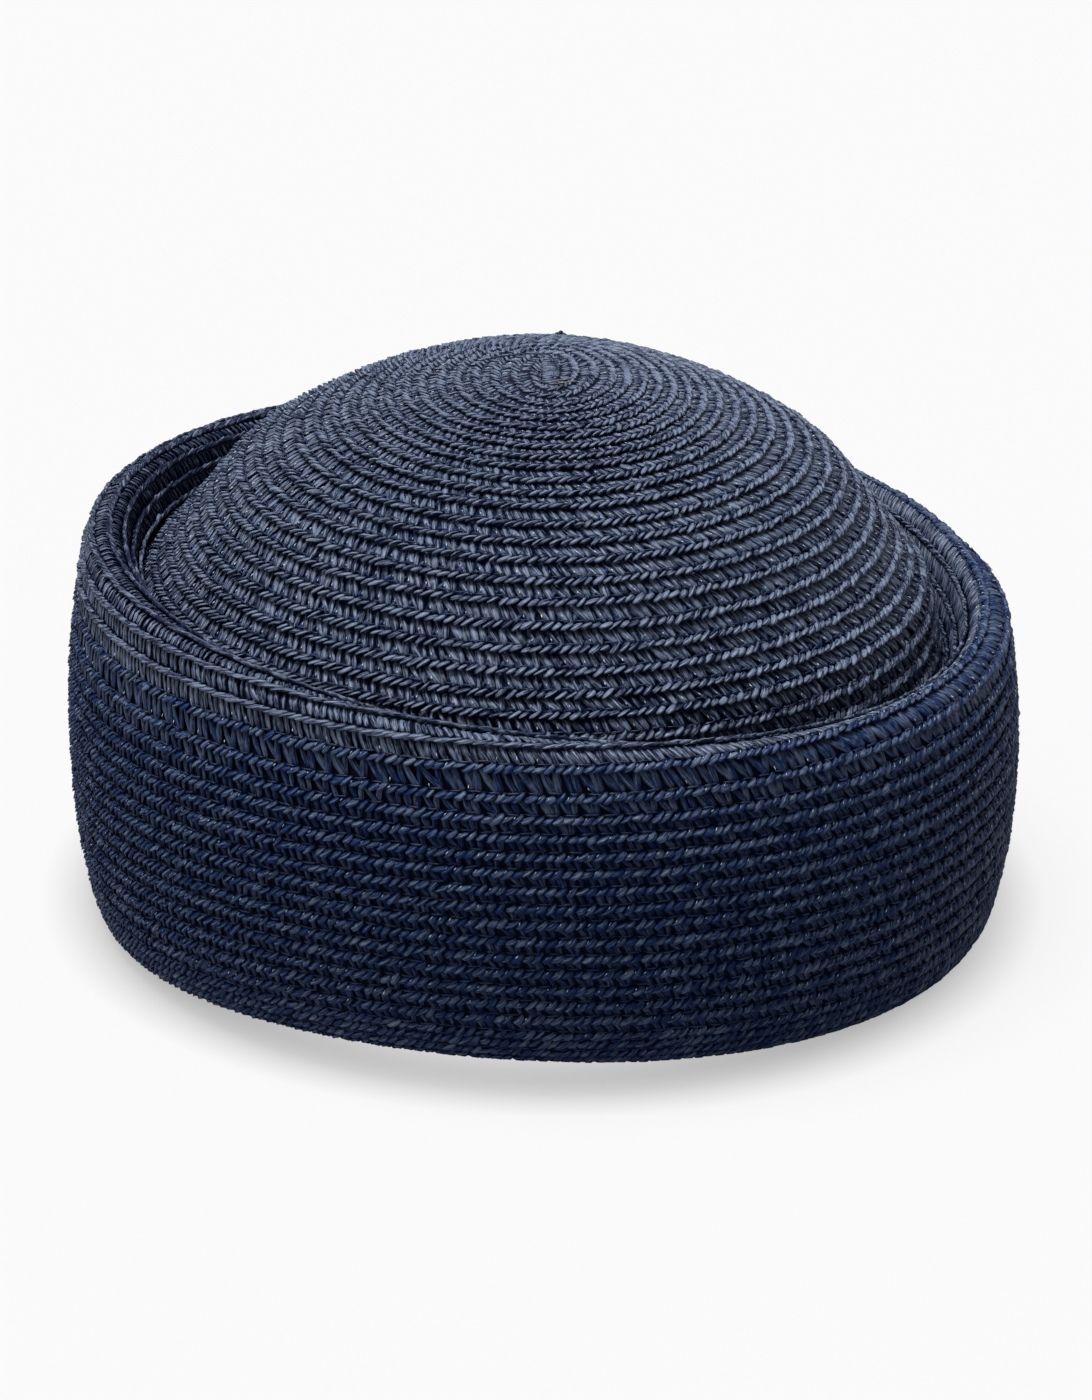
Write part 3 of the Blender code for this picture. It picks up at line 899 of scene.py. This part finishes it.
def make_floor():
    """Pale floor that runs out of sight. To the camera it glows, with a painted shadow that ambient
    occlusion draws near the hat; it gives the hat less light back than it shows.
    """
    material, nodes, links, shader = new_material("floor")
    nodes.remove(shader)
    seen = nodes.new("ShaderNodeLightPath")
    near = nodes.new("ShaderNodeAmbientOcclusion")
    near.samples = 12
    near.inputs["Distance"].default_value = FLOOR_SHADOW_REACH
    bright = math_node(nodes, "MULTIPLY_ADD", FLOOR_SHADOW_DEPTH, FLOOR_LEAST)
    lit = nodes.new("ShaderNodeBsdfDiffuse")
    lit.inputs["Color"].default_value = (FLOOR_GREY, FLOOR_GREY, FLOOR_GREY, 1.0)
    glow = nodes.new("ShaderNodeEmission")
    pale = nodes.new("ShaderNodeAddShader")
    dim = nodes.new("ShaderNodeBsdfDiffuse")
    dim.inputs["Color"].default_value = FLOOR_BOUNCE
    either = nodes.new("ShaderNodeMixShader")
    links.new(near.outputs["AO"], bright.inputs[0])
    links.new(bright.outputs[0], glow.inputs["Strength"])
    links.new(seen.outputs["Is Camera Ray"], either.inputs["Fac"])
    links.new(dim.outputs["BSDF"], either.inputs[1])
    links.new(lit.outputs["BSDF"], pale.inputs[0])
    links.new(glow.outputs["Emission"], pale.inputs[1])
    links.new(pale.outputs["Shader"], either.inputs[2])
    links.new(either.outputs["Shader"], nodes["Material Output"].inputs["Surface"])
    mesh = bpy.data.meshes.new("floor")
    corners = [(x * FLOOR_REACH, y * FLOOR_REACH, 0.0) for x, y in ((-1, -1), (1, -1), (1, 1), (-1, 1))]
    mesh.from_pydata(corners, [], [(0, 1, 2, 3)])
    mesh.materials.append(material)
    floor = in_scene("floor", mesh)


def make_lights():
    """White surroundings that are brighter above, at the sides and at the back, and two wide soft suns."""
    world = bpy.data.worlds.new("studio")
    bpy.context.scene.world = world
    world.use_nodes = True
    nodes, links = world.node_tree.nodes, world.node_tree.links
    nodes.clear()
    place = nodes.new("ShaderNodeTexCoord")
    split = nodes.new("ShaderNodeSeparateXYZ")
    side = math_node(nodes, "ABSOLUTE")
    above = math_node(nodes, "MAXIMUM", 0.0)
    high = math_node(nodes, "MULTIPLY_ADD", SKY_RISE, SKY_LEAST)
    wide = math_node(nodes, "MULTIPLY_ADD", SIDE_GLOW)
    behind = math_node(nodes, "MULTIPLY_ADD", BACK_GLOW, clamp=True)
    soft = nodes.new("ShaderNodeBackground")
    plain = nodes.new("ShaderNodeBackground")
    plain.inputs["Color"].default_value = (BACKDROP_GREY, BACKDROP_GREY, BACKDROP_GREY, 1.0)
    seen = nodes.new("ShaderNodeLightPath")
    either = nodes.new("ShaderNodeMixShader")
    out = nodes.new("ShaderNodeOutputWorld")
    links.new(place.outputs["Generated"], split.inputs["Vector"])
    links.new(split.outputs["X"], side.inputs[0])
    links.new(split.outputs["Z"], above.inputs[0])
    links.new(above.outputs[0], high.inputs[0])
    links.new(side.outputs[0], wide.inputs[0])
    links.new(high.outputs[0], wide.inputs[2])
    links.new(split.outputs["Y"], behind.inputs[0])
    links.new(wide.outputs[0], behind.inputs[2])
    links.new(behind.outputs[0], soft.inputs["Strength"])
    links.new(seen.outputs["Is Camera Ray"], either.inputs["Fac"])
    links.new(soft.outputs["Background"], either.inputs[1])
    links.new(plain.outputs["Background"], either.inputs[2])
    links.new(either.outputs["Shader"], out.inputs["Surface"])
    for name, strength, spread, tilt, turned in SUNS:
        sun = bpy.data.lights.new(name, "SUN")
        sun.energy = strength
        sun.angle = math.radians(spread)
        lamp = in_scene(name, sun)
        lamp.rotation_euler = (math.radians(tilt), 0.0, math.radians(turned))


make_camera()
make_floor()
make_lights()

fine_strand = strand_shape(3, 5, turned=0.25)
flat_strand = strand_shape(3, 4, turned=0.25)
coarse_strand = strand_shape(2, 4)
thin_strand = strand_shape(2, 3, turned=0.25)
grain = strand_shape(1, 4)
rng = np.random.default_rng(7)
dyed = straw_group()
crown_straw, cuff_straw, navy_thread, pale_straw = (straw(dyed, *look) for look in DYED_STRAWS)
# Painted shade: the shells' nearly black colour stands for the shade deep between the strands
painted_shade_braid = shadowed_braid("painted_shade_braid", (0.0004, 0.0016, 0.010), (0.002, 0.006, 0.030))
# Painted highlight: the filament's pale colour stands for its glints
painted_glint_filament = clear_filament("painted_glint_filament", (0.22, 0.32, 0.50), (0.85, 0.93, 1.0))


def crown_marks(first, pitch, offsets=(0.0,), last=CROWN_ROWS):
    """Turns of strands along the crown's rows."""
    return stations(CROWN_OUTSIDE, crown_row, first, last, pitch, offsets)


def cuff_marks(first, last, pitch, offsets=(0.0,)):
    """Turns of strands along the cuff's rows."""
    return stations(CUFF_OUTSIDE, cuff_row, first, last, pitch, offsets)


def faded(turns, stretch, power=1.0):
    """Change of tone: the share of the way through a stretch of turns, to a power, times its change."""
    first, length, change = stretch
    return change * np.clip((turns - first) / length, 0.0, 1.0) ** power


def crown_strands(turns, kind, shape):
    """Strands on the outside of the crown, with painted light on its top and painted shade down its side
    and in the groove.
    """
    change = TOP_PAINTED_LIGHT + faded(turns, TOP_PAINTED_LIGHT_FADE) + faded(turns, SIDE_PAINTED_SHADE) + faded(turns, GROOVE_PAINTED_SHADE)
    return lay(CROWN_OUTSIDE, crown_row, turns, kind, shape, rng, change)


def cuff_strands(turns, kind, shape):
    """Strands on the outside of the cuff, lighter over the last turns up to the rim, with painted shade
    inside it.
    """
    change = faded(turns, UP_TO_RIM, UP_TO_RIM_POWER) * (kind.tone < DARK_KIND) + faded(turns, HEM_PAINTED_SHADE)
    return lay(CUFF_OUTSIDE, cuff_row, turns, kind, shape, rng, change)


piece(
    "crown_twisted_edge",
    crown_strands(crown_marks(EDGE_START, STRAND_PITCH), CROWN_EDGE, fine_strand),
    crown_straw,
)
piece(
    "crown_plait",
    crown_strands(crown_marks(PLAIT_START, PAIR_PITCH, PAIR), CROWN_PLAIT, fine_strand),
    crown_straw,
)
piece(
    "cuff_twisted_edge",
    cuff_strands(cuff_marks(WALL_START, RIM_START, STRAND_PITCH), CUFF_EDGE, fine_strand),
    cuff_straw,
)
piece(
    "cuff_plait",
    joined(
        cuff_strands(cuff_marks(WALL_START, TOP_START, PAIR_PITCH, PAIR), CUFF_PLAIT, flat_strand),
        cuff_strands(cuff_marks(TOP_START, RIM_PLAIT_START, PAIR_PITCH, PAIR), TOP_PLAIT, flat_strand),
    ),
    cuff_straw,
)
hem_turns = stations(CUFF_OUTSIDE, hem_row, 0.0, 1.0, STRAND_PITCH)
piece(
    "rim_braid",
    joined(
        cuff_strands(cuff_marks(RIM_START, CUFF_LAST_ROW, STRAND_PITCH), RIM_EDGE, fine_strand),
        cuff_strands(cuff_marks(RIM_PLAIT_START, CUFF_LAST_ROW, RIM_STRAND_PITCH), RIM_PLAIT, fine_strand),
        lay(CUFF_OUTSIDE, hem_row, hem_turns, RIM_EDGE, fine_strand, rng),
    ),
    crown_straw,
)
under_turns = cuff_marks(SOLE_START, WALL_START, UNDER_STRAND_PITCH)
piece(
    "sole_braid",
    joined(
        cuff_strands(under_turns, UNDER_EDGE, coarse_strand),
        cuff_strands(under_turns, UNDER_PLAIT, coarse_strand),
    ),
    cuff_straw,
)
inside_turns = stations(CROWN_INSIDE, crown_row, *INSIDE_ROWS, INSIDE_STRAND_PITCH)
piece(
    "crown_inside_braid",
    joined(
        lay(CROWN_INSIDE, crown_row, inside_turns, UNDER_EDGE, grain, rng),
        lay(CROWN_INSIDE, crown_row, inside_turns, UNDER_PLAIT, grain, rng),
    ),
    cuff_straw,
)
piece(
    "sewing_thread",
    joined(
        crown_strands(crown_marks(STITCH_START, STITCH_PITCH), STITCH, thin_strand),
        cuff_strands(cuff_marks(WALL_START, RIM_START, STITCH_PITCH), STITCH, thin_strand),
    ),
    navy_thread,
)
first_glint, last_glint = CROWN_GLINT_ROWS
crown_gaps = crown_marks(first_glint, PAIR_PITCH, (STRAND_PITCH,), last_glint)
crown_glint_turns = rng.choice(crown_gaps, CROWN_GLINTS, replace=False)
cuff_gaps = cuff_marks(ROWS_UNDER_WALL, RIM_START, STRAND_PITCH)
cuff_glint_turns = rng.choice(cuff_gaps, CUFF_GLINTS, replace=False)
rim_gaps = cuff_marks(RIM_GLINT_START, RIM_START, PAIR_PITCH, (STRAND_PITCH,))
rim_glint_turns = rng.choice(rim_gaps, RIM_GLINTS, replace=False)
piece(
    "filament_glints",
    joined(
        crown_strands(crown_glint_turns, CROWN_GLINT, grain),
        cuff_strands(cuff_glint_turns, CUFF_GLINT, grain),
        cuff_strands(rim_glint_turns, CROWN_GLINT, grain),
    ),
    painted_glint_filament,
)

# Middle of the crown: rungs across the seam that the spiral starts on, a small knot behind it, a few
# undyed strands before it, and a loose end of thread
UPWARD = np.array([0.0, 0.0, 1.0])
TIP_HEIGHT = CROWN_HEIGHT - TIP_DEPTH
seam_y = np.linspace(-RUNG_SPAN, RUNG_SPAN, RUNGS) * MM
rungs = np.stack([np.full(RUNGS, TIP_SHIFT - CROWN_LEAN), seam_y, np.full(RUNGS, TIP_HEIGHT)], 1)
rung_ways = np.stack([np.ones(RUNGS), rng.normal(*RUNG_SLANT, RUNGS), np.zeros(RUNGS)], 1)
knot = np.array([[2.1, 50.6, 116.9], [3.0, 50.4, 116.8], [2.4, 50.8, 117.2]]) * MM
knot_sizes = np.array([[2.4, 1.3, 0.9], [1.7, 1.1, 0.8], [1.0, 1.0, 0.8]]) * MM
knot_ways = np.array([[1.0, 0.1, 0.0], [0.9, -0.3, -0.1], [0.2, 1.0, 0.2]])
knot_tones = np.full(len(knot), KNOT_TONE)
piece(
    "crown_tip",
    joined(
        scattered(
            fine_strand,
            rungs,
            rung_ways,
            UPWARD,
            np.tile(RUNG_SIZE, (RUNGS, 1)),
            rng.normal(*RUNG_TONE, RUNGS),
            rng,
        ),
        scattered(fine_strand, knot, knot_ways, UPWARD, knot_sizes, knot_tones, rng),
    ),
    crown_straw,
)
undyed = np.array([[0.0, -8.0], [1.5, -6.9], [2.6, -8.6], [3.9, -6.2], [1.0, -9.6], [4.8, -7.8]]) * MM
undyed_tones = np.array([0.9, 0.5, 0.8, 0.35, 0.6, 0.7])
UNDYED = len(undyed)
undyed = np.concatenate([undyed, np.full((UNDYED, 1), TIP_HEIGHT)], 1)
piece(
    "undyed_strands",
    scattered(
        fine_strand,
        undyed,
        np.stack([np.ones(UNDYED), rng.normal(*UNDYED_SLANT, UNDYED), np.zeros(UNDYED)], 1),
        UPWARD,
        np.tile(UNDYED_SIZE, (UNDYED, 1)),
        undyed_tones,
        rng,
    ),
    pale_straw,
)
bends = np.array([[-15.6, 6.0], [-11.0, 8.2], [-5.5, 9.4], [-0.6, 9.0], [0.9, 3.6], [1.6, -2.4]]) * MM
share = np.linspace(0.0, len(bends) - 1.0, THREAD_STEPS + 1)
thread = np.stack([np.interp(share, np.arange(len(bends)), bends[:, i]) for i in range(2)], 1)
thread_z = CROWN_HEIGHT + THREAD_PROUD - (thread ** 2).sum(1) / (2 * DOME_RADIUS)
thread = np.concatenate([thread, thread_z[:, None]], 1)
steps = np.diff(thread, axis=0)
thread_sizes = np.full((THREAD_STEPS, 3), THREAD_THICK)
thread_sizes[:, 0] = THREAD_OVERLAP * np.linalg.norm(steps, axis=1)
thread_tones = np.full(THREAD_STEPS, THREAD_TONE)
middles = (thread[:-1] + thread[1:]) / 2
piece(
    "loose_thread",
    scattered(coarse_strand, middles, steps, UPWARD, thread_sizes, thread_tones, rng),
    navy_thread,
)

shell(
    "crown_shell",
    CROWN_OUTSIDE,
    *(np.linspace(SHELL_TOP_GAP, crown_length(), rings) for rings in CROWN_SHELL_RINGS),
    capped=True,
    material=painted_shade_braid,
    slot="paper_straw",
    node="crown",
)
shell(
    "cuff_shell",
    CUFF_OUTSIDE,
    *(np.linspace(0.0, 1.0, rings) for rings in CUFF_SHELL_RINGS),
    capped=False,
    material=painted_shade_braid,
    slot="cuff_straw",
    node="cuff",
)

bpy.context.scene.view_settings.view_transform = "Standard"
